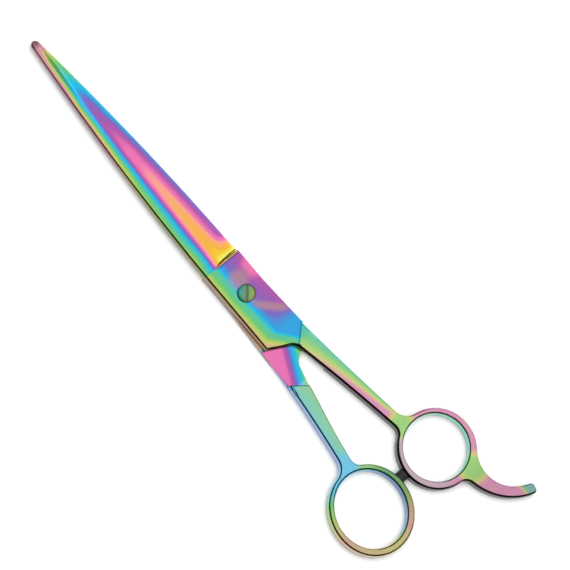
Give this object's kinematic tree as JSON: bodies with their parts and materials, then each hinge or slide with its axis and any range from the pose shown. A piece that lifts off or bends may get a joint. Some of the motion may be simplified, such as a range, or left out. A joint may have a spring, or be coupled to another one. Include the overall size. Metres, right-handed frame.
{
  "type": "thinning shears",
  "caption": "Grooming shears with a plain blade over a comb blade, slotted tension screw, two finger rings, a curved finger rest and a rubber bumper.",
  "frame": {"origin": "on the pivot axis, at the back face of the thumb half's joint plate, which the closed shears lie on", "axes": "+Z along the pivot axis up to the screw head, +Y along the closed blades to the tip, +X towards the finger ring and its finger rest"},
  "size_m": [0.0633, 0.2215, 0.0057],
  "materials": {
    "rainbow_steel": "polished",
    "rainbow_screw": "polished",
    "plain_steel": "satin",
    "white_plastic": "matte",
    "black_rubber": "matte"
  },
  "bodies": {
    "thumb": {"thumb_half": "rainbow_steel", "lock_nut": "rainbow_screw", "ride_washer": "white_plastic", "bumper_pad": "black_rubber", "bumper_stud": "plain_steel"},
    "finger": {"finger_half": "rainbow_steel", "pivot_bush": "white_plastic", "spring_washer": "plain_steel"},
    "screw": {"pivot_screw": "rainbow_screw"}
  },
  "joints": [
    {"name": "blade_pivot", "type": "hinge", "parent": "thumb", "child": "finger", "pos_m": [0, 0, 0.00245], "axis": [0, 0, 1], "range_deg": [0, 100]},
    {"name": "tension_screw", "type": "hinge", "parent": "thumb", "child": "screw", "pos_m": [0, 0, 0.00245], "axis": [0, 0, 1], "range_deg": [-45, 180]}
  ]
}
